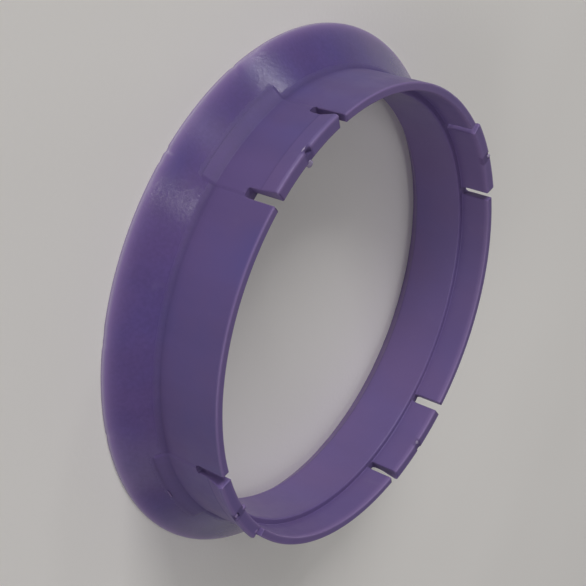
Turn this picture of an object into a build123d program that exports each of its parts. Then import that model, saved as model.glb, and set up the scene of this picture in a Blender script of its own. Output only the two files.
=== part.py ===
# Hub centric ring: a moulded plastic spigot ring that fills the gap between a wheel's centre bore and
# a car's hub. It stands on the back of its flared flange with its axis along +Z, the slotted end up.
# The origin is the centre of the flange's back face. Units are millimetres.
import os
from math import atan2, cos, radians, sin, tan

from build123d import *

# The fit on the hub, and the wall that makes it up to the wheel's centre bore of 71.6
hub_bore_d = 67.1
bore_wall = 2.25

# Section of the ring, from the back of the flange to the slotted front edge
flange_overhang = 5.5
rim_land = 0.35
flare_len = 5.1
body_len = 10.0
hub_lead_in = 2.0
recess_wall = 1.26
recess_depth = 4.95

# Rounding of the section's corners
rim_round = 0.12
flare_root_round = 0.2
front_edge_round = 0.2
step_edge_round = 0.25
lead_in_round = 0.6

# Spring tabs: evenly spaced, each freed by two slots cut from the front edge to the step of the bore
tab_count = 4
slot_spread_deg = 25.0
slot_width = 1.4
slot_root_round = 0.3

# Raised grip pad over each tab: thin on the flare and the wall, then rising to a barb at the front edge
pad_run_on_flare = 1.6
pad_height = 0.15
pad_side_inset = 0.05
barb_len = 3.1
barb_height = 0.9
barb_front_height = 0.75
barb_lead_len = 0.5

# Gate mark at the middle of each tab's front edge, where the moulding runner was broken off
gate_width = 1.1
gate_radial = 0.8
gate_depth = 0.5

# How far a cutter reaches past the faces it cuts
cut_margin = 1.0

# Radii and levels that follow from the sizes above
bore_r = hub_bore_d / 2
body_r = bore_r + bore_wall
flange_r = body_r + flange_overhang
recess_r = body_r - recess_wall
flare_z = rim_land + flare_len
front_z = flare_z + body_len
step_z = front_z - recess_depth
slot_angle = slot_spread_deg / 2


def on_section_plane(points, rounds=()):
    """Closes (radius, height) points into a face on the XZ plane, rounding the corners given."""
    face = make_face(Polyline(*points, close=True))
    for corner, radius in rounds:
        face = fillet(face.vertices().sort_by_distance((*corner, 0))[0], radius)
    return Plane.XZ * face


def ring_body():
    """The plain ring: flared flange, straight outer wall, hub bore with a lead-in and a thin front wall."""
    back_edge = (bore_r + hub_lead_in, 0)
    rim_back = (flange_r, 0)
    rim_front = (flange_r, rim_land)
    flare_root = (body_r, flare_z)
    front_outer = (body_r, front_z)
    front_inner = (recess_r, front_z)
    recess_corner = (recess_r, step_z)
    step_edge = (bore_r, step_z)
    lead_in_end = (bore_r, hub_lead_in)
    section = on_section_plane(
        [
            back_edge,
            rim_back,
            rim_front,
            flare_root,
            front_outer,
            front_inner,
            recess_corner,
            step_edge,
            lead_in_end,
        ],
        [
            (rim_back, rim_round),
            (rim_front, rim_round),
            (flare_root, flare_root_round),
            (front_outer, front_edge_round),
            (step_edge, step_edge_round),
            (lead_in_end, lead_in_round),
        ],
    )
    return revolve(section, Axis.Z)


def grip_pad():
    """One raised pad on the +X side, from a small step on the flare to a barb at the front edge."""
    flare_angle = atan2(flange_overhang, flare_len)
    end_r = body_r + pad_run_on_flare
    end_z = flare_z - pad_run_on_flare / tan(flare_angle)
    lift_r = pad_height * cos(flare_angle)
    lift_z = pad_height * sin(flare_angle)
    pad_r = body_r + pad_height
    bend_z = flare_z + pad_height * tan(flare_angle / 2)
    root_r = body_r - recess_wall / 2
    profile = on_section_plane(
        [
            (root_r, end_z - lift_z),
            (end_r - lift_r, end_z - lift_z),
            (end_r + lift_r, end_z + lift_z),
            (pad_r, bend_z),
            (pad_r, front_z - barb_len),
            (body_r + barb_height, front_z - barb_lead_len),
            (body_r + barb_front_height, front_z),
            (root_r, front_z),
        ]
    )
    side_offset = slot_width / 2 - pad_side_inset
    apex = -side_offset / sin(radians(slot_angle))
    half_width = (flange_r - apex) * tan(radians(slot_angle))
    wedge = make_face(Polyline((apex, 0), (flange_r, -half_width), (flange_r, half_width), close=True))
    return revolve(profile, Axis.Z) & extrude(wedge, front_z)


def tab_slot():
    """The cutter for one slot on the +X side, with rounded root corners."""
    start_r = recess_r - cut_margin
    length = body_r + barb_height + cut_margin - start_r
    cutter = Box(length, slot_width, recess_depth + cut_margin, align=(Align.MIN, Align.CENTER, Align.MIN))
    root_edges = cutter.edges().filter_by(Axis.X).group_by(Axis.Z)[0]
    return Pos(start_r, 0, step_z) * fillet(root_edges, slot_root_round)


def gate_mark():
    """The cutter for one gate mark on the +X side: a small pocket in the tab's front outer edge."""
    start_r = body_r + barb_front_height - gate_radial
    length = gate_radial + cut_margin
    pocket = Box(length, gate_width, gate_depth + cut_margin, align=(Align.MIN, Align.CENTER, Align.MIN))
    return Pos(start_r, 0, front_z - gate_depth) * pocket


def around(tool, angle=0.0):
    """One copy of a tool for each tab, turned about the ring's axis."""
    pitch = 360 / tab_count
    return [Rot(0, 0, angle + index * pitch) * tool for index in range(tab_count)]


ring = ring_body() + around(grip_pad())
ring -= around(tab_slot(), slot_angle) + around(tab_slot(), -slot_angle)
ring -= around(gate_mark())

os.makedirs("parts", exist_ok=True)
export_step(ring, "parts/hub_centric_ring.step")
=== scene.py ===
"""Dressed model of a moulded plastic hub centric ring.

The ring stands on the back of its flared flange with its axis up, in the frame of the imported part.
Sizes are in millimetres until a vertex or a lamp is placed, and Blender's own units are metres.
"""

import logging
import math
from dataclasses import dataclass, field, replace
from enum import Enum
from typing import ClassVar

import bmesh
import bpy
from mathutils import Matrix, Vector, noise


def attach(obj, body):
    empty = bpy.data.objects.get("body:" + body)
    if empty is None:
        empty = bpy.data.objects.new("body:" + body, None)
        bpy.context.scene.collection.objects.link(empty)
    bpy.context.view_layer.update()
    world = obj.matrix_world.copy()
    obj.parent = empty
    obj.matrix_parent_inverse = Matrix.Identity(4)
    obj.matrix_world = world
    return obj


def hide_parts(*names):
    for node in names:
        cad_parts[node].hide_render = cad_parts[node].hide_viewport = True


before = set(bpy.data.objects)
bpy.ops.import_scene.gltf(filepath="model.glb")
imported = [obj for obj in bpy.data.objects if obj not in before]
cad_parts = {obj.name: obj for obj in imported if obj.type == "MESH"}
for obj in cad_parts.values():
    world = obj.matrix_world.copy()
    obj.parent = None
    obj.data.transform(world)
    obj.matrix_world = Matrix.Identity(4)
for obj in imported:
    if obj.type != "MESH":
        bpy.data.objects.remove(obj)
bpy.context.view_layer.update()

MM = 0.001
BODY = "root"
RING_NODE = "hub_centric_ring"
FRAME_PIXELS = 586
# Per-vertex layer of paleness: thin translucent edges, torn plastic, and painted light and highlights.
PALE_AND_LIT_LAYER = "pale_and_painted_light"
GRAIN_LAYER = "graininess"
# Per-vertex layer of painted shade for creases and hollows.
PAINTED_SHADE_LAYER = "painted_shade"
TINY = 1e-6

log = logging.getLogger("hub_ring")


class Zone(Enum):
    """The stretches of the ring's section, in order round it from the back of the flange."""

    BACK = "flat back of the flange"
    RIM = "thin rim of the flange"
    FLARE = "flared front of the flange"
    WALL = "outer wall"
    FRONT = "front edge"
    RECESS = "thin front wall inside"
    STEP = "step of the bore"
    BORE = "hub bore"
    LEAD_IN = "lead-in of the bore"


ROW_SPACING: dict[Zone, float] = {
    Zone.BACK: 1.6,
    Zone.RIM: 0.1,
    Zone.FLARE: 0.7,
    Zone.WALL: 0.8,
    Zone.FRONT: 0.25,
    Zone.RECESS: 0.8,
    Zone.STEP: 0.3,
    Zone.BORE: 1.0,
    Zone.LEAD_IN: 0.5,
}


def fade(distance: float, reach: float) -> float:
    """Share that falls from 1 at no distance to 0 at the reach and beyond."""
    return max(0.0, 1 - distance / reach)


def soft_max(first: float, second: float, blend: float) -> float:
    """Larger of two values, with the corner between them rounded over.

    Args:
        first: One value.
        second: The other value.
        blend: Difference under which the corner is rounded.

    Returns:
        The blended value.
    """
    near = max(0.0, blend - abs(first - second))
    return max(first, second) + near**2 / (4 * blend)


@dataclass(frozen=True)
class Corner:
    """A corner of the section and the straight edge that leaves it.

    Args:
        r: Radius of the sharp corner.
        z: Height of the sharp corner.
        rounding: Radius of the corner's round.
        zone: The stretch that the edge after the corner belongs to.
        stations: Distances from the sharp corner, along that edge, that have a row of their own.
    """

    r: float
    z: float
    rounding: float
    zone: Zone
    stations: tuple[float, ...] = ()

    @property
    def point(self) -> Vector:
        """The sharp corner as a vector of radius and height."""
        return Vector((self.r, self.z))


@dataclass(frozen=True)
class Row:
    """One point of the section, swept right round the ring.

    Args:
        r: Radius of the point.
        z: Height of the point.
        normal_r: Part of the outward normal along the radius.
        normal_z: Part of the outward normal along the axis.
        zone: The stretch that the point belongs to.
    """

    r: float
    z: float
    normal_r: float
    normal_z: float
    zone: Zone


@dataclass(frozen=True)
class RingSection:
    """Section of the plain ring between its tabs."""

    bore_r: float = 33.55
    bore_wall: float = 2.25
    flange_overhang: float = 5.5
    rim_land: float = 0.35
    flare_len: float = 5.1
    body_len: float = 10.0
    hub_lead_in: float = 2.0
    recess_wall: float = 1.26
    recess_depth: float = 4.95
    rim_round: float = 0.12
    flare_root_round: float = 0.2
    front_edge_round: float = 0.2
    inner_edge_round: float = 0.2
    recess_corner_round: float = 0.1
    step_edge_round: float = 0.25
    lead_in_round: float = 0.6
    back_edge_round: float = 0.1
    arc_steps: int = 5

    @property
    def body_r(self) -> float:
        """Radius of the outer wall."""
        return self.bore_r + self.bore_wall

    @property
    def flange_r(self) -> float:
        """Radius of the flange's rim."""
        return self.body_r + self.flange_overhang

    @property
    def recess_r(self) -> float:
        """Radius of the recess inside the front wall."""
        return self.body_r - self.recess_wall

    @property
    def flare_z(self) -> float:
        """Height of the flare's root on the outer wall."""
        return self.rim_land + self.flare_len

    @property
    def front_z(self) -> float:
        """Height of the slotted front edge."""
        return self.flare_z + self.body_len

    @property
    def step_z(self) -> float:
        """Height of the bore's step, which is also the floor of the slots."""
        return self.front_z - self.recess_depth

    @property
    def flare_angle(self) -> float:
        """Angle of the flare from the axis, in radians."""
        return math.atan2(self.flange_overhang, self.flare_len)

    def rows(self, flare_stations: tuple[float, ...], wall_stations: tuple[float, ...],
             front_stations: tuple[float, ...], recess_stations: tuple[float, ...]) -> list[Row]:
        """Samples the section from the bore's back edge round to its lead-in.

        Args:
            flare_stations: Distances from the rim, along the flare, that need a row.
            wall_stations: Distances from the flare's root, up the wall, that need a row.
            front_stations: Distances inward from the front edge's outer corner that need a row.
            recess_stations: Distances down from the front edge's inner corner that need a row.

        Returns:
            The rows, in order and without a repeat of the first.
        """
        corners = [
            Corner(self.bore_r + self.hub_lead_in, 0, self.back_edge_round, Zone.BACK),
            Corner(self.flange_r, 0, self.rim_round, Zone.RIM),
            Corner(self.flange_r, self.rim_land, self.rim_round, Zone.FLARE, flare_stations),
            Corner(self.body_r, self.flare_z, self.flare_root_round, Zone.WALL, wall_stations),
            Corner(self.body_r, self.front_z, self.front_edge_round, Zone.FRONT, front_stations),
            Corner(self.recess_r, self.front_z, self.inner_edge_round, Zone.RECESS, recess_stations),
            Corner(self.recess_r, self.step_z, self.recess_corner_round, Zone.STEP),
            Corner(self.bore_r, self.step_z, self.step_edge_round, Zone.BORE),
            Corner(self.bore_r, self.hub_lead_in, self.lead_in_round, Zone.LEAD_IN),
        ]
        rows: list[Row] = []
        for index, corner in enumerate(corners):
            before = corners[index - 1]
            after = corners[(index + 1) % len(corners)]
            rows += self._arc_rows(before, corner, after)
            rows += self._edge_rows(before, corner, after, corners[(index + 2) % len(corners)])
        return rows

    @staticmethod
    def _cut_back(before: Vector, corner: Corner, after: Vector) -> float:
        """Distance from a sharp corner to where its round begins.

        Args:
            before: The corner before it.
            corner: The corner that is rounded.
            after: The corner after it.

        Returns:
            The length that the round takes from each of its edges.
        """
        turn = (corner.point - before).angle(after - corner.point)
        return corner.rounding * math.tan(turn / 2)

    def _arc_rows(self, before: Corner, corner: Corner, after: Corner) -> list[Row]:
        """Samples the round at one corner.

        Args:
            before: The corner before it.
            corner: The corner that is rounded.
            after: The corner after it.

        Returns:
            Rows from the start of the round to its end.
        """
        ahead_in = (corner.point - before.point).normalized()
        ahead_out = (after.point - corner.point).normalized()
        cut = self._cut_back(before.point, corner, after.point)
        side = 1.0 if ahead_in.cross(ahead_out) > 0 else -1.0
        normal_in = Vector((ahead_in.y, -ahead_in.x))
        centre = corner.point - ahead_in * cut - normal_in * side * corner.rounding
        turn = ahead_in.angle(ahead_out) * side
        rows = []
        for step in range(self.arc_steps + 1):
            normal = Matrix.Rotation(turn * step / self.arc_steps, 2) @ normal_in
            spot = centre + normal * side * corner.rounding
            rows.append(Row(spot.x, spot.y, normal.x, normal.y, before.zone))
        return rows

    def _edge_rows(self, before: Corner, corner: Corner, after: Corner, beyond: Corner) -> list[Row]:
        """Samples the straight edge that leaves a corner, between the rounds at its ends.

        Args:
            before: The corner before the edge's first corner.
            corner: The edge's first corner.
            after: The edge's last corner.
            beyond: The corner after that.

        Returns:
            Rows strictly between the two rounds.
        """
        ahead = after.point - corner.point
        start = self._cut_back(before.point, corner, after.point)
        end = ahead.length - self._cut_back(corner.point, after, beyond.point)
        stops = [start, *sorted({round(s, 4) for s in corner.stations if start < s < end}), end]
        places: list[float] = []
        for low, high in zip(stops, stops[1:]):
            count = max(1, math.ceil((high - low) / ROW_SPACING[corner.zone]))
            places += [low + (high - low) * part / count for part in range(count)]
        ahead.normalize()
        rows = []
        for place in places[1:]:
            spot = corner.point + ahead * place
            rows.append(Row(spot.x, spot.y, ahead.y, -ahead.x, corner.zone))
        return rows


@dataclass(frozen=True)
class Column:
    """One half-plane through the ring's axis, or beside it, that carries a copy of every row.

    Args:
        angle: Degrees about the axis.
        offset: Sideways distance from the plane at that angle.
        raised: Share of the grip pad's height here, from 0 to 1.
        inset: Rounding of a slot's edge here.
        ceiling: Height that a slot cuts the ring down to here.
        gate: Whether the gate mark's pocket lies here.
    """

    angle: float
    offset: float = 0.0
    raised: float = 0.0
    inset: float = 0.0
    ceiling: float | None = None
    gate: bool = False

    def mirrored(self) -> "Column":
        """The same column on the other side of the tab's middle."""
        return replace(self, angle=-self.angle, offset=-self.offset)

    def turned(self, degrees: float) -> "Column":
        """The same column, turned about the axis."""
        return replace(self, angle=self.angle + degrees)


@dataclass(frozen=True)
class GripPad:
    """Profile of the raised pad over a tab, from a small step on the flare to the barb at the front."""

    run_on_flare: float = 1.6
    height: float = 0.15
    side_inset: float = 0.05
    side_slope: float = 0.45
    side_steps: int = 4
    barb_len: float = 3.1
    barb_height: float = 0.9
    barb_front_height: float = 0.75
    barb_lead_len: float = 0.5
    bend_blend: float = 0.05
    least_lift: float = 0.01

    def end_z(self, section: RingSection) -> float:
        """Height at which the pad's end lies on the flare."""
        return section.flare_z - self.run_on_flare / math.tan(section.flare_angle)

    def foot_z(self, section: RingSection) -> float:
        """Height at which the barb begins to rise from the pad."""
        return section.front_z - self.barb_len

    def radius(self, z: float, section: RingSection) -> float:
        """Radius of the pad's face.

        Args:
            z: Height up the ring.
            section: Section of the plain ring.

        Returns:
            The radius, with the bends rounded over.
        """
        pad_r = section.body_r + self.height
        bend_z = section.flare_z + self.height * math.tan(section.flare_angle / 2)
        peak_r = section.body_r + self.barb_height
        peak_z = section.front_z - self.barb_lead_len
        foot_z = self.foot_z(section)
        on_flare = pad_r + (bend_z - z) * math.tan(section.flare_angle)
        rise = pad_r + (peak_r - pad_r) * (z - foot_z) / (peak_z - foot_z)
        lead = peak_r - (self.barb_height - self.barb_front_height) * (z - peak_z) / self.barb_lead_len
        face = soft_max(soft_max(on_flare, pad_r, self.bend_blend), rise, self.bend_blend)
        return -soft_max(-face, -lead, self.bend_blend)


@dataclass(frozen=True)
class SpringTab:
    """Sizes of one spring tab, its two slots and its gate mark."""

    count: int = 4
    slot_angle: float = 12.5
    slot_width: float = 1.4
    slot_root_round: float = 0.3
    slot_edge_round: float = 0.2
    gate_width: float = 1.1
    gate_radial: float = 0.8
    gate_depth: float = 0.5
    gate_lip_depth: float = 0.32
    gate_edge: float = 0.03
    gate_bow: float = 0.8
    gate_shares: tuple[float, ...] = (0.2, 0.4, 0.6, 0.8, 0.93, 1)
    gate_clear_angle: float = 1.2
    edge_turns: tuple[int, ...] = (0, 30, 60, 90)
    root_steps: tuple[float, float] = (0.04, 0.12)
    tab_step: float = 0.5
    wall_step: float = 1.0


@dataclass(frozen=True)
class RunnerStub:
    """A torn lump of plastic left at a tab's front edge where the runner was broken off.

    Args:
        tab: Number of the tab, counted round from +X.
        across: Distance from the tab's middle.
        r: Radius of the lump's middle.
        below: Depth of the lump's middle under the front edge.
        size: Half lengths of the lump along the radius, across it and up the axis.
        pale: How thin and torn the lump's plastic looks, up to 2.
    """

    tab: int
    across: float
    r: float
    below: float
    size: tuple[float, float, float]
    pale: float = 1.7
    detail: ClassVar[int] = 3
    roughness: ClassVar[float] = 0.35
    bumps: ClassVar[float] = 1.7
    seed_step: ClassVar[float] = 9.1
    seed_height: ClassVar[float] = 3.3

    def add_to(self, mesh: bmesh.types.BMesh, section: RingSection,
               pitch: float) -> list[bmesh.types.BMVert]:
        """Adds the lump to the ring's mesh.

        Args:
            mesh: The mesh in work.
            section: Section of the plain ring.
            pitch: Degrees from one tab to the next.

        Returns:
            The lump's vertices.
        """
        made = bmesh.ops.create_icosphere(mesh, subdivisions=self.detail, radius=1.0)["verts"]
        turn = Matrix.Rotation(math.radians(self.tab * pitch), 3, "Z")
        middle = Vector((self.r, self.across, section.front_z - self.below))
        seed = Vector((self.tab * self.seed_step, self.across, self.seed_height))
        for vert in made:
            rough = 1 + self.roughness * noise.noise(vert.co * self.bumps + seed)
            spot = Vector(v * s for v, s in zip(vert.co, self.size)) * rough
            vert.co = turn @ (middle + spot) * MM
        return made


@dataclass(frozen=True)
class RimNick:
    """A small dent in the rim of the flange.

    Args:
        angle: Degrees about the axis.
        spread: Degrees from the dent's middle to its end.
        depth: Depth at the dent's middle.
    """

    angle: float
    spread: float
    depth: float

    def dent(self, angle: float) -> float:
        """Depth of the dent at an angle, in degrees about the axis."""
        apart = abs((angle - self.angle + 180) % 360 - 180)
        return self.depth * fade(apart, self.spread)


@dataclass(frozen=True)
class FineRows:
    """Distances from the section's features at which the mesh has a row of its own."""

    rim: tuple[float, ...] = (0.1, 0.25, 0.45, 0.7, 1.0, 1.4)
    pad_end: tuple[float, ...] = (0, 0.2, 0.4)
    crease: tuple[float, ...] = (0.25, 0.5)
    bend: tuple[float, ...] = (-0.3, -0.15, -0.05, 0, 0.05, 0.15, 0.3)


@dataclass(frozen=True)
class Tones:
    """How pale, dark and grained the plastic looks along the section, and how far each tone reaches.
    The pale tones are partly thin translucent plastic and partly painted light; the dark tones are painted
    shade.
    """

    # Pale tones: partly thin translucent plastic, mostly painted light and painted highlights.
    rim_pale: float = 1.75
    rim_most: float = 1.6
    rim_fall: float = 0.52
    front_pale: float = 0.5
    front_loss_on_tab: float = 0.1
    inner_edge_pale: float = 0.6
    inner_edge_reach: float = 0.35
    barb_pale: float = 0.28
    barb_margin: float = 0.1
    wall_top_pale: float = 0.85
    wall_top_fall: float = 0.5
    recess_pale: float = 0.44
    recess_top_pale: float = 0.66
    recess_top_reach: float = 1.0
    lead_in_pale: float = 1.0
    bore_pale: float = 0.47
    slot_edge_pale: float = 0.45
    # Dark tones: painted shade in the slots, the gate pocket and the creases.
    slot_dark: float = 0.2
    gate_dark: float = 0.4
    gate_reach: float = 0.4
    root_dark: float = 0.32
    root_loss_on_pad: float = 0.2
    root_reach: float = 0.7
    pad_end_dark: float = 0.12
    pad_end_reach: float = 0.5
    barb_foot_dark: float = 0.1
    barb_foot_reach: float = 0.3
    flare_grain: float = 1.0
    flare_margin: float = 0.1
    pad_grain: float = 0.5
    bore_grain: float = 0.4
    wall_grain: float = 0.1


@dataclass
class MouldedRing:
    """The whole ring as one closed mesh: rows of the section crossed with columns round the axis."""

    section: RingSection = field(default_factory=RingSection)
    tab: SpringTab = field(default_factory=SpringTab)
    pad: GripPad = field(default_factory=GripPad)
    fine: FineRows = field(default_factory=FineRows)
    tones: Tones = field(default_factory=Tones)
    stubs: tuple[RunnerStub, ...] = (
        RunnerStub(3, 0.3, 34.4, 0.35, (0.7, 0.62, 0.42)),
        RunnerStub(3, 0.15, 36.62, 0.5, (0.12, 0.5, 0.14)),
        RunnerStub(2, -0.3, 36.3, 0.12, (0.4, 0.3, 0.2)),
        RunnerStub(1, 0.1, 34.7, 0.15, (0.35, 0.35, 0.22)),
        RunnerStub(0, 0.2, 34.5, 0.2, (0.45, 0.5, 0.3), 1.0),
        RunnerStub(0, -0.25, 36.2, 0.12, (0.3, 0.35, 0.18), 1.2),
        RunnerStub(0, 6.5, 35.0, 0.15, (0.4, 0.3, 0.25), 1.0),
        RunnerStub(0, 0.1, 37.62, 11.5, (0.14, 0.8, 0.15), 0.9),
    )
    nicks: tuple[RimNick, ...] = (
        RimNick(-77.7, 0.9, 0.22),
        RimNick(-75.2, 0.9, 0.12),
        RimNick(-99.2, 0.9, 0.18),
        RimNick(-42.4, 1.0, 0.14),
        RimNick(-40.4, 1.0, 0.17),
        RimNick(-20.6, 1.0, 0.14),
    )
    nick_reach: float = 0.8
    weld: float = 0.0005
    sharp_angle: float = 40.0
    rows: list[Row] = field(init=False)
    columns: list[Column] = field(init=False)

    def __post_init__(self) -> None:
        """Works out the rows and columns that the sizes call for."""
        section, tab, pad, fine = self.section, self.tab, self.pad, self.fine
        flare_length = math.hypot(section.flange_overhang, section.flare_len)
        pad_end = flare_length - pad.run_on_flare / math.sin(section.flare_angle)
        step_end = pad_end + pad.height * math.tan(section.flare_angle)
        floor = section.body_len - section.recess_depth
        root = floor + tab.slot_root_round
        end_rows = [pad_end - gap for gap in fine.pad_end] + [step_end + gap for gap in fine.pad_end]
        bends = (section.body_len - pad.barb_len, section.body_len - pad.barb_lead_len)
        barb_rows = [bend + gap for bend in bends for gap in fine.bend]
        gate_floor = section.body_len - tab.gate_depth
        gate_in = section.recess_wall - self._gate_base_r() + section.recess_r
        self.rows = section.rows(
            flare_stations=(*fine.rim, *end_rows, *(flare_length - gap for gap in fine.crease)),
            wall_stations=(*fine.crease, floor, root, root + tab.slot_edge_round, *barb_rows, gate_floor),
            front_stations=(gate_in - tab.gate_edge / 2, gate_in + tab.gate_edge / 2),
            recess_stations=(section.recess_depth - tab.slot_root_round,),
        )
        self.columns = self._columns()

    def _gate_base_r(self) -> float:
        """Finds the radius on the plain front edge that becomes the gate pocket's inner wall on a tab.

        Returns:
            The radius.
        """
        section, tab = self.section, self.tab
        share = section.recess_wall / (section.recess_wall + self.pad.barb_front_height)
        wall_r = section.body_r + self.pad.barb_front_height - tab.gate_radial
        return section.recess_r + (wall_r - section.recess_r) * share

    def _columns(self) -> list[Column]:
        """Lists the columns round the whole ring.

        Returns:
            Columns in order of angle, tab by tab.
        """
        section, tab = self.section, self.tab
        half_gate = tab.gate_width / 2
        half_slot = tab.slot_width / 2
        half_pitch = 180 / tab.count
        slot_half_angle = math.degrees(math.asin(half_slot / section.body_r))
        half = [Column(0, half_gate * share, 1, gate=True) for share in tab.gate_shares]
        half.append(Column(0, half_gate, 1))
        tab_end = tab.slot_angle - slot_half_angle - tab.tab_step / 2
        steps = math.floor((tab_end - tab.gate_clear_angle) / tab.tab_step)
        half += [Column(tab_end - tab.tab_step * step, 0, 1) for step in range(steps, -1, -1)]
        half += self._slot_edge(-1, raised=1)
        half += self._slot_floor()
        half += self._slot_edge(1, raised=0)
        wall_start = tab.slot_angle + slot_half_angle + tab.tab_step / 2
        steps = math.ceil((half_pitch - wall_start) / tab.wall_step)
        wall_step = (half_pitch - wall_start) / steps
        half += [Column(wall_start + wall_step * step) for step in range(steps)]
        middle = [Column(0, 0, 1, gate=True)]
        pitch = [c.mirrored() for c in reversed(half)] + middle + half + [Column(half_pitch)]
        return [c.turned(2 * half_pitch * index) for index in range(tab.count) for c in pitch]

    def _slot_edge(self, side: int, raised: float) -> list[Column]:
        """Columns that round the edges of one side of a slot.

        Args:
            side: -1 for the side that belongs to the tab, 1 for the side of the plain wall.
            raised: Share of the pad's height on that side.

        Returns:
            Columns in order of angle.
        """
        tab = self.tab
        edge = tab.slot_edge_round
        columns = []
        for degrees in tab.edge_turns:
            away = edge * (1 - math.sin(math.radians(degrees)))
            inset = edge * (1 - math.cos(math.radians(degrees)))
            columns.append(Column(tab.slot_angle, side * (tab.slot_width / 2 + away), raised, inset))
        return columns if side < 0 else columns[::-1]

    def _slot_floor(self) -> list[Column]:
        """Columns across one slot, from the tab's side to the plain wall's.

        Returns:
            Columns cut down to the slot's floor, with the grip pad ending short of the far side.
        """
        section, tab, pad = self.section, self.tab, self.pad
        half = tab.slot_width / 2
        bend = tab.slot_root_round
        pad_end = half - pad.side_inset
        first, second = tab.root_steps
        places = [-half, -half + first, -half + second, -half + bend, 0, half - first, half]
        places += [pad_end - pad.side_slope * (step / pad.side_steps) for step in range(pad.side_steps + 1)]
        columns = []
        for place in sorted(places):
            gap = min(bend, half - abs(place))
            height = section.step_z + bend - math.sqrt(bend**2 - (bend - gap) ** 2)
            raised = min(1, max(0, (pad_end - place) / pad.side_slope))
            columns.append(Column(tab.slot_angle, place, raised, ceiling=height))
        return columns

    def _pad_lift(self, row: Row) -> float:
        """How far the full pad stands out from the plain ring at one row.

        Args:
            row: The row of the section.

        Returns:
            Change of radius.
        """
        section, pad = self.section, self.pad
        if row.zone is Zone.FLARE:
            if row.z < pad.end_z(section) + pad.least_lift:
                return 0.0
            return pad.radius(row.z, section) - row.r
        if row.zone is Zone.WALL:
            return pad.radius(row.z, section) - section.body_r
        if row.zone is Zone.FRONT:
            return pad.barb_front_height * (row.r - section.recess_r) / section.recess_wall
        return 0.0

    def _above_root(self, row: Row, margin: float) -> bool:
        """Tells whether a row belongs to the tab or wall above the rounded root of the slots.

        Args:
            row: The row of the section.
            margin: How far above the root the row has to lie.

        Returns:
            True on the front edge and on the walls above the root.
        """
        root = self.section.step_z + self.tab.slot_root_round
        if row.zone is Zone.FRONT:
            return True
        return row.zone in (Zone.WALL, Zone.RECESS) and row.z > root + margin

    def _in_gate(self, row: Row, column: Column) -> bool:
        """Tells whether a row may be cut by the gate mark's pocket in a column.

        Args:
            row: The row of the section.
            column: The column round the axis.

        Returns:
            True on the wall and the outer part of the front edge, in a gate's columns.
        """
        if not column.gate:
            return False
        return row.zone is Zone.WALL or (row.zone is Zone.FRONT and row.r > self._gate_base_r())

    def place(self, row: Row, column: Column) -> Vector:
        """Finds where a row crosses a column.

        Args:
            row: The row of the section.
            column: The column round the axis.

        Returns:
            The point, in metres.
        """
        section, tab = self.section, self.tab
        r = row.r + self._pad_lift(row) * column.raised
        z = row.z
        if column.inset and self._above_root(row, TINY):
            r -= row.normal_r * column.inset
            z -= row.normal_z * column.inset
        if self._in_gate(row, column):
            share = min(1.0, abs(column.offset) / (tab.gate_width / 2))
            depth = tab.gate_lip_depth if row.zone is Zone.WALL else tab.gate_depth
            z = min(z, section.front_z - depth * math.sqrt(1 - tab.gate_bow * share**2))
        slotted = column.ceiling is not None and row.zone in (Zone.WALL, Zone.FRONT, Zone.RECESS)
        if slotted and z > column.ceiling:
            z = column.ceiling
            outer = section.body_r + (self.pad.radius(z, section) - section.body_r) * column.raised
            share = (row.r - section.recess_r) / section.recess_wall
            share = {Zone.WALL: 1.0, Zone.RECESS: 0.0}.get(row.zone, share)
            r = section.recess_r + (outer - section.recess_r) * share
        angle = math.radians(column.angle) + math.asin(column.offset / r)
        if row.zone in (Zone.BACK, Zone.RIM, Zone.FLARE):
            near = fade(section.flange_r - row.r, self.nick_reach)
            r -= near * max(nick.dent(math.degrees(angle)) for nick in self.nicks)
        return Vector((r * math.cos(angle), r * math.sin(angle), z)) * MM

    def pale_and_painted_light(self, row: Row, column: Column) -> float:
        """How pale the plastic looks where a row crosses a column: partly the paler look of thin translucent
        plastic, partly painted light and painted highlights.

        Args:
            row: The row of the section.
            column: The column round the axis.

        Returns:
            A share from 0 to 1, and more on the rim: higher at thin edges and where light and highlights are
                painted on.
        """
        section, tones = self.section, self.tones
        below = section.front_z - row.z
        # Rim: paler thin translucent plastic, partly a painted glow.
        if row.zone in (Zone.RIM, Zone.FLARE, Zone.BACK):
            share = tones.rim_pale * math.exp((row.r - section.flange_r) / tones.rim_fall)
            return min(tones.rim_most, share)
        # Painted light on the front faces, and a painted highlight along the inner edge.
        if row.zone is Zone.FRONT:
            inward = fade(row.r - section.recess_r, tones.inner_edge_reach)
            share = tones.front_pale - tones.front_loss_on_tab * column.raised
            share += tones.inner_edge_pale * inward
        # Painted highlight along the top of the wall, and painted light on the barb's rise.
        elif row.zone is Zone.WALL:
            on_barb = row.z > self.pad.foot_z(section) + tones.barb_margin
            barb = tones.barb_pale * column.raised if on_barb else 0.0
            share = max(barb, tones.wall_top_pale - below / tones.wall_top_fall)
        # Painted light in the recess, brightest near its top.
        elif row.zone is Zone.RECESS:
            share = tones.recess_pale + tones.recess_top_pale * fade(below, tones.recess_top_reach)
        else:
            # Painted light on the bore and its lead-in, for light reaching inside.
            share = tones.lead_in_pale if row.zone is Zone.LEAD_IN else tones.bore_pale
        # Painted highlight on the rounded slot edges.
        if 0 < column.inset < self.tab.slot_edge_round and self._above_root(row, TINY):
            share = max(share, tones.slot_edge_pale)
        return share

    def painted_shade(self, row: Row, column: Column) -> float:
        """How much shade is painted into the ring's creases and hollows where a row crosses a column.

        Args:
            row: The row of the section.
            column: The column round the axis.

        Returns:
            A share of painted shade, from 0 on open faces to 1 deep in a hollow.
        """
        section, pad, tones = self.section, self.pad, self.tones
        # Painted shade on the slot faces.
        if column.ceiling is not None and self._above_root(row, TINY):
            return tones.slot_dark
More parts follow.
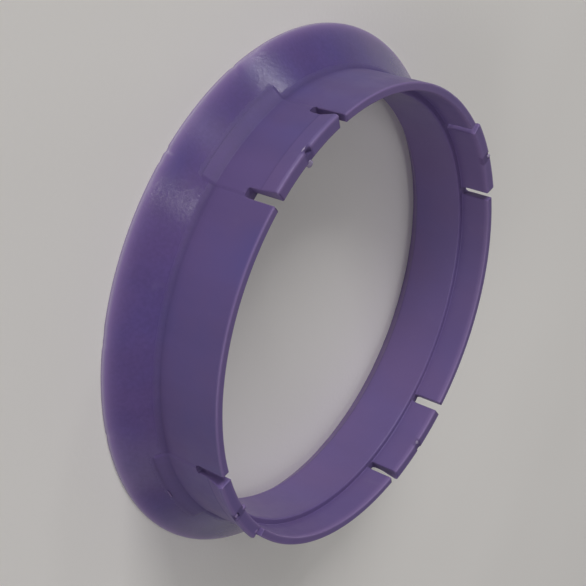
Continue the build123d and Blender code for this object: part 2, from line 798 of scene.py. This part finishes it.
        # Painted shade in the gate pocket and round it.
        if row.zone in (Zone.FRONT, Zone.WALL) and row.z > section.front_z - self.tab.gate_depth:
            beside = max(0.0, abs(self._across(column)) - self.tab.gate_width / 2)
            return tones.gate_dark * fade(beside, tones.gate_reach)
        # Painted shade along the flare's root, the pad's end and the barb's foot.
        if row.zone in (Zone.FLARE, Zone.WALL):
            root = tones.root_dark - tones.root_loss_on_pad * column.raised
            root *= fade(abs(row.z - section.flare_z), tones.root_reach)
            end = tones.pad_end_dark * fade(abs(row.z - pad.end_z(section)), tones.pad_end_reach)
            foot = tones.barb_foot_dark * fade(abs(row.z - pad.foot_z(section)), tones.barb_foot_reach)
            return max(root, end * column.raised, foot * column.raised)
        return 0.0

    def _across(self, column: Column) -> float:
        """Measures a column from the middle of the tab it is nearest to.

        Args:
            column: The column round the axis.

        Returns:
            The distance along the outer wall, with its sign.
        """
        pitch = 360 / self.tab.count
        angle = (column.angle + pitch / 2) % pitch - pitch / 2
        return self.section.body_r * math.sin(math.radians(angle)) + column.offset

    def graininess(self, row: Row, column: Column) -> float:
        """How much of the mould's grain the plastic shows where a row crosses a column.

        Args:
            row: The row of the section.
            column: The column round the axis.

        Returns:
            A share from 0 on the smooth walls to 1 on the grained flare.
        """
        tones = self.tones
        if row.zone is Zone.BACK:
            return tones.flare_grain
        if row.zone is Zone.FLARE and row.z < self.section.flare_z - tones.flare_margin:
            on_pad = self._pad_lift(row) * column.raised >= self.pad.least_lift
            return tones.pad_grain if on_pad else tones.flare_grain
        return tones.bore_grain if row.zone is Zone.BORE else tones.wall_grain

    def build(self) -> bpy.types.Object:
        """Builds the closed mesh and links it to the scene.

        Returns:
            The ring's object.
        """
        mesh = bmesh.new()
        # Layers for paleness with painted light, for grain, and for painted shade.
        pale_and_lit = mesh.verts.layers.float.new(PALE_AND_LIT_LAYER)
        grain = mesh.verts.layers.float.new(GRAIN_LAYER)
        painted_shade = mesh.verts.layers.float.new(PAINTED_SHADE_LAYER)
        grid: list[list[bmesh.types.BMVert]] = []
        for column in self.columns:
            grid.append([mesh.verts.new(self.place(row, column)) for row in self.rows])
            for vert, row in zip(grid[-1], self.rows):
                vert[pale_and_lit] = self.pale_and_painted_light(row, column)
                vert[grain] = self.graininess(row, column)
                vert[painted_shade] = self.painted_shade(row, column)
        for index, column in enumerate(self.columns):
            follower = (index + 1) % len(self.columns)
            if (column.ceiling is None) != (self.columns[follower].ceiling is None):
                full, cut = (index, follower) if column.ceiling is None else (follower, index)
                self._slot_side(mesh, grid[full], grid[cut])
                continue
            for place in range(len(self.rows)):
                following = (place + 1) % len(self.rows)
                here, there = grid[index], grid[follower]
                mesh.faces.new((here[place], there[place], there[following], here[following]))
        bmesh.ops.remove_doubles(mesh, verts=mesh.verts, dist=self.weld * MM)
        bmesh.ops.dissolve_degenerate(mesh, edges=mesh.edges, dist=self.weld * MM)
        for stub in self.stubs:
            for vert in stub.add_to(mesh, self.section, 360 / self.tab.count):
                vert[pale_and_lit] = stub.pale
        bmesh.ops.recalc_face_normals(mesh, faces=mesh.faces)
        data = bpy.data.meshes.new("ring_mesh")
        mesh.to_mesh(data)
        mesh.free()
        for polygon in data.polygons:
            polygon.use_smooth = True
        data.set_sharp_from_angle(angle=math.radians(self.sharp_angle))
        ring = bpy.data.objects.new("ring", data)
        bpy.context.scene.collection.objects.link(ring)
        weighted = ring.modifiers.new("even_shading", "WEIGHTED_NORMAL")
        weighted.keep_sharp = True
        return ring

    def _slot_side(self, mesh: bmesh.types.BMesh, full: list[bmesh.types.BMVert],
                   cut: list[bmesh.types.BMVert]) -> None:
        """Closes one side of a slot with a flat face.

        Args:
            mesh: The mesh in work.
            full: The column at the slot's side, at full height.
            cut: The column at the same place, cut down to the slot's floor.
        """
        outline = [vert for vert, row in zip(full, self.rows) if self._above_root(row, -TINY)]
        floor = [vert for vert, row in zip(cut, self.rows) if row.zone is Zone.FRONT]
        mesh.faces.new(outline + floor[::-1])


@dataclass
class Wiring:
    """Adds and links the nodes of one material or world."""

    owner: bpy.types.Material | bpy.types.World

    @classmethod
    def start(cls, name: str) -> "Wiring":
        """Makes a material with its shader in place.

        Args:
            name: The material's name.

        Returns:
            The wiring of the new material.
        """
        material = bpy.data.materials.new(name)
        material.use_nodes = True
        return cls(material)

    @property
    def shader(self) -> bpy.types.Node:
        """The material's shader node."""
        return self.owner.node_tree.nodes["Principled BSDF"]

    def feed(self, node: bpy.types.Node, **inputs: object) -> None:
        """Sets or links inputs of a node.

        Args:
            node: The node.
            inputs: Values or output sockets, by input name in lower case with low lines for spaces.
        """
        for name, value in inputs.items():
            socket = next(s for s in node.inputs if s.name.lower().replace(" ", "_") == name and s.enabled)
            if isinstance(value, bpy.types.NodeSocket):
                self.owner.node_tree.links.new(value, socket)
            else:
                socket.default_value = value

    def add(self, kind: str, settings: dict[str, object] | None = None, **inputs: object) -> bpy.types.Node:
        """Adds a node.

        Args:
            kind: Blender's name for the node's type, without its prefix.
            settings: Attributes of the node.
            inputs: Values or output sockets, as for feed.

        Returns:
            The new node.
        """
        node = self.owner.node_tree.nodes.new("ShaderNode" + kind)
        for name, value in (settings or {}).items():
            setattr(node, name, value)
        self.feed(node, **inputs)
        return node

    def noise(self, where: bpy.types.NodeSocket, scale: float, detail: float) -> bpy.types.NodeSocket:
        """Adds a noise texture.

        Args:
            where: Coordinates in metres.
            scale: Features to the metre.
            detail: Octaves of finer noise.

        Returns:
            The noise's value socket.
        """
        return self.add("TexNoise", vector=where, scale=scale, detail=detail).outputs[0]

    def spread(self, value: bpy.types.NodeSocket, span: tuple[float, float],
               result: tuple[float, float]) -> bpy.types.NodeSocket:
        """Maps a value from one range to another.

        Args:
            value: The value's socket.
            span: The range it comes from.
            result: The range it goes to.

        Returns:
            The mapped value's socket.
        """
        node = self.add("MapRange", value=value, from_min=span[0], from_max=span[1], to_min=result[0],
                        to_max=result[1])
        return node.outputs[0]

    def mix(self, share: object, first: object, second: object,
            blend: str = "MIX") -> bpy.types.NodeSocket:
        """Mixes two colours.

        Args:
            share: Share of the second colour, or its socket.
            first: The first colour or its socket.
            second: The second colour or its socket.
            blend: Blender's name for the way of mixing.

        Returns:
            The mixed colour's socket.
        """
        node = self.add("Mix", {"data_type": "RGBA", "blend_type": blend}, factor=share, a=first, b=second)
        return next(s for s in node.outputs if s.enabled)

    def layer(self, name: str) -> bpy.types.NodeSocket:
        """Reads one of the mesh's layers of values."""
        return self.add("Attribute", {"attribute_name": name}).outputs["Fac"]

    def between(self, share: bpy.types.NodeSocket, first: object, second: object) -> bpy.types.NodeSocket:
        """Mixes two values, given as numbers or sockets, by the share of the second."""
        return self.add("Mix", factor=share, a=first, b=second).outputs[0]

    def grey(self, value: bpy.types.NodeSocket) -> bpy.types.NodeSocket:
        """Turns a value into a grey of that strength."""
        return self.add("CombineColor", red=value, green=value, blue=value).outputs[0]

    def bump(self, height: bpy.types.NodeSocket, strength: object, depth: float,
             under: bpy.types.NodeSocket | None = None) -> bpy.types.NodeSocket:
        """Adds a bump.

        Args:
            height: The height's socket.
            strength: Strength of the bump, or its socket.
            depth: Depth of the relief in metres.
            under: Normal of a bump that lies under this one.

        Returns:
            The normal's socket.
        """
        node = self.add("Bump", height=height, strength=strength, distance=depth)
        if under is not None:
            self.feed(node, normal=under)
        return node.outputs[0]


@dataclass(frozen=True)
class SatinPlastic:
    """Purple moulded plastic: satin grain, cloudy colour, streaks up the walls, pale thin edges with painted
    light, and painted shade in creases.
    """

    blue_purple: tuple[float, float, float] = (0.085, 0.061, 0.205)
    pink_purple: tuple[float, float, float] = (0.100, 0.064, 0.195)
    # Pale purple for thin translucent edges, also used for painted light and highlights.
    pale_and_lit_purple: tuple[float, float, float] = (0.22, 0.15, 0.33)
    scuff_grey: tuple[float, float, float] = (0.30, 0.27, 0.36)
    torn_grey: tuple[float, float, float] = (0.34, 0.29, 0.42)
    # Colour of the painted shade in creases and hollows.
    painted_shade_purple: tuple[float, float, float] = (0.025, 0.015, 0.065)
    pale_and_lit_most: float = 0.8
    gloss: float = 0.4
    noise_span: tuple[float, float] = (0.3, 0.7)
    wall_roughness: tuple[float, float] = (0.42, 0.54)
    flare_roughness: tuple[float, float] = (0.235, 0.18)
    grain_size: float = 0.52
    grain_depth: float = 0.0132
    pit_shade: tuple[float, float] = (0.95, 1.05)
    sheen_size: float = 3.04
    scuff_span: tuple[float, float] = (0.66, 0.9)
    scuff_share: float = 0.1
    cloud_size: float = 13.0
    cloud_span: tuple[float, float] = (0.38, 0.62)
    wave_strength: float = 0.1
    wave_depth: float = 0.3
    streak_size: float = 5.0
    streak_stretch: float = 0.12
    streak_shade: tuple[float, float] = (0.95, 1.05)
    crease_full: float = 0.3
    crease_matt: float = 0.8
    crease_roughness: float = 0.9

    def material(self) -> bpy.types.Material:
        """Makes the plastic's material.

        Returns:
            The material.
        """
        wiring = Wiring.start("satin_purple_plastic")
        place = wiring.add("TexCoord").outputs["Object"]
        drawn = wiring.add("Mapping", vector=place, scale=(1, 1, self.streak_stretch)).outputs[0]
        cloud = wiring.noise(place, 1 / (self.cloud_size * MM), detail=3)
        streak = wiring.noise(drawn, 1 / (self.streak_size * MM), detail=2)
        grain = wiring.noise(place, 1 / (self.grain_size * MM), detail=1)
        sheen = wiring.noise(place, 1 / (self.sheen_size * MM), detail=3)
        pale_and_lit = wiring.layer(PALE_AND_LIT_LAYER)
        grained = wiring.layer(GRAIN_LAYER)
        painted_shade_mask = wiring.layer(PAINTED_SHADE_LAYER)
        pinkness = wiring.spread(cloud, self.cloud_span, (0, 1))
        colour = wiring.mix(pinkness, (*self.blue_purple, 1), (*self.pink_purple, 1))
        shade = wiring.spread(streak, self.noise_span, self.streak_shade)
        colour = wiring.mix(1.0, colour, wiring.grey(shade), "MULTIPLY")
        pits = wiring.spread(grain, self.noise_span, self.pit_shade)
        colour = wiring.mix(grained, colour, wiring.mix(1.0, colour, wiring.grey(pits), "MULTIPLY"))
        # Paler purple: partly thin translucent plastic, partly painted light and highlights.
        pale_and_lit_share = wiring.spread(pale_and_lit, (0, 1), (0, self.pale_and_lit_most))
        colour = wiring.mix(pale_and_lit_share, colour, (*self.pale_and_lit_purple, 1))
        torn = wiring.spread(pale_and_lit, (1, 2), (0, 1))
        colour = wiring.mix(torn, colour, (*self.torn_grey, 1))
        scuff = wiring.spread(sheen, self.scuff_span, (0, self.scuff_share))
        colour = wiring.mix(scuff, colour, (*self.scuff_grey, 1))
        # Painted shade darkens the colour in creases and hollows.
        colour = wiring.mix(painted_shade_mask, colour, (*self.painted_shade_purple, 1))
        wall = wiring.spread(sheen, self.noise_span, self.wall_roughness)
        flare = wiring.spread(grain, self.noise_span, self.flare_roughness)
        matt = wiring.spread(painted_shade_mask, (0, self.crease_full), (0, self.crease_matt))
        roughness = wiring.between(matt, wiring.between(grained, wall, flare), self.crease_roughness)
        waves = wiring.bump(cloud, self.wave_strength, self.wave_depth * MM)
        relief = wiring.bump(grain, grained, self.grain_depth * MM, waves)
        wiring.feed(wiring.shader, base_color=colour, roughness=roughness, normal=relief,
                    specular_ior_level=self.gloss)
        return wiring.owner


@dataclass(frozen=True)
class PaleFloor:
    """Plain pale floor with a faint weave."""

    colour: tuple[float, float, float] = (0.87, 0.84, 0.81)
    shade: tuple[float, float, float] = (0.83, 0.80, 0.77)
    reach: float = 2000.0
    roughness: float = 0.9
    clouds_per_metre: float = 9.0
    cloud_span: tuple[float, float] = (0.35, 0.65)
    threads_per_metre: float = 1500.0
    weave_strength: float = 0.1
    weave_depth: float = 0.2

    def build(self) -> bpy.types.Object:
        """Builds the floor under the ring.

        Returns:
            The floor's object.
        """
        data = bpy.data.meshes.new("floor_mesh")
        reach = self.reach * MM
        corners = [(-reach, -reach, 0), (reach, -reach, 0), (reach, reach, 0), (-reach, reach, 0)]
        data.from_pydata(corners, [], [(0, 1, 2, 3)])
        floor = bpy.data.objects.new("floor", data)
        bpy.context.scene.collection.objects.link(floor)
        wiring = Wiring.start("pale_floor")
        place = wiring.add("TexCoord").outputs["Object"]
        clouds = wiring.spread(wiring.noise(place, self.clouds_per_metre, detail=2), self.cloud_span, (0, 1))
        colour = wiring.mix(clouds, (*self.colour, 1), (*self.shade, 1))
        threads = wiring.noise(place, self.threads_per_metre, detail=2)
        weave = wiring.bump(threads, self.weave_strength, self.weave_depth * MM)
        wiring.feed(wiring.shader, base_color=colour, roughness=self.roughness, normal=weave)
        data.materials.append(wiring.owner)
        return floor


@dataclass(frozen=True)
class Softbox:
    """A square soft lamp that faces the ring.

    Args:
        name: The lamp's name.
        azimuth: Degrees about the ring's axis from +X.
        elevation: Degrees above the floor.
        distance: Distance from the ring's middle.
        size: Length of the lamp's side.
        watts: The lamp's power.
    """

    name: str
    azimuth: float
    elevation: float
    distance: float
    size: float
    watts: float

    def build(self) -> bpy.types.Object:
        """Places the lamp.

        Returns:
            The lamp's object.
        """
        data = bpy.data.lights.new(self.name, "AREA")
        data.size = self.size * MM
        data.energy = self.watts
        lamp = bpy.data.objects.new(self.name, data)
        a, e = math.radians(self.azimuth), math.radians(self.elevation)
        away = Vector((math.cos(a) * math.cos(e), math.sin(a) * math.cos(e), math.sin(e)))
        lamp.location = away * self.distance * MM
        lamp.rotation_euler = (-away).to_track_quat("-Z", "Y").to_euler()
        bpy.context.scene.collection.objects.link(lamp)
        return lamp


@dataclass
class Studio:
    """Camera, lamps and world round the ring."""

    eye: tuple[float, float, float] = (77.461, -139.423, 101.263)
    heading: float = 25.454
    dip: float = 31.109
    roll: float = 111.750
    lens: float = 74.061
    sensor: float = 36.0
    principal_row: float = 363.0
    nearest: float = 10.0
    farthest: float = 10000.0
    world_grey: float = 0.12
    backdrop_grey: float = 0.38
    backdrop_fade: tuple[float, float] = (0.07, 0.27)
    lamps: tuple[Softbox, ...] = (
        Softbox("key_softbox", -115, 22, 3000, 1070, 44),
        Softbox("second_softbox", -90, 22, 3000, 1070, 9.2),
        Softbox("side_softbox", -20, 16, 3000, 1500, 23),
        Softbox("fill_softbox", 35, 17, 3000, 1500, 3.8),
        Softbox("back_softbox", 146, 14, 3000, 750, 5.0),
        Softbox("top_softbox", 0, 88, 3000, 1900, 10),
        Softbox("upper_glint", -151.5, 32, 600, 60, 0.15),
        Softbox("middle_glint", -119, 46, 600, 100, 0.055),
        Softbox("front_glint", -87, 54, 600, 60, 0.09),
    )

    def build_camera(self) -> bpy.types.Object:
        """Places the camera at the photograph's viewing angle.

        Returns:
            The camera's object.
        """
        data = bpy.data.cameras.new("camera")
        data.sensor_width = self.sensor
        data.lens = self.lens
        data.shift_y = (self.principal_row - FRAME_PIXELS / 2) / FRAME_PIXELS
        data.clip_start = self.nearest * MM
        data.clip_end = self.farthest * MM
        camera = bpy.data.objects.new("camera", data)
        turn = Matrix.Rotation(math.radians(self.heading), 4, "Z")
        turn = turn @ Matrix.Rotation(math.radians(90 - self.dip), 4, "X")
        turn = turn @ Matrix.Rotation(math.radians(self.roll), 4, "Z")
        camera.matrix_world = Matrix.Translation(Vector(self.eye) * MM) @ turn
        bpy.context.scene.collection.objects.link(camera)
        bpy.context.scene.camera = camera
        return camera

    def build_world(self) -> bpy.types.World:
        """Makes a dim even room, with a low pale backdrop where the room is seen or mirrored.

        Returns:
            The world.
        """
        world = bpy.data.worlds.new("soft_room")
        world.use_nodes = True
        wiring = Wiring(world)
        path = wiring.add("LightPath").outputs
        mirrored = wiring.between(path["Is Glossy Ray"], path["Is Transmission Ray"], 1.0)
        seen = wiring.between(path["Is Camera Ray"], mirrored, 1.0)
        aim = wiring.add("TexCoord").outputs["Generated"]
        rise = wiring.add("SeparateXYZ", vector=aim).outputs["Z"]
        backdrop = wiring.spread(rise, self.backdrop_fade, (self.backdrop_grey, self.world_grey))
        strength = wiring.between(seen, self.world_grey, backdrop)
        wiring.feed(world.node_tree.nodes["Background"], color=(1, 1, 1, 1), strength=strength)
        return world

    def build(self) -> None:
        """Builds the camera, the lamps and the world."""
        self.build_camera()
        for lamp in self.lamps:
            lamp.build()
        scene = bpy.context.scene
        scene.world = self.build_world()
        scene.view_settings.view_transform = "Standard"


def main() -> None:
    """Builds the ring, its finish and its studio."""
    logging.basicConfig(level=logging.INFO, format="%(name)s: %(message)s")
    builder = MouldedRing()
    ring = builder.build()
    ring.data.materials.append(SatinPlastic().material())
    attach(ring, BODY)
    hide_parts(RING_NODE)
    log.info("%s: %d rows by %d columns", ring.name, len(builder.rows), len(builder.columns))
    floor = PaleFloor().build()
    log.info("%s: stage", floor.name)
    studio = Studio()
    studio.build()
    log.info("studio: %d lamps", len(studio.lamps))


if __name__ == "__main__":
    main()
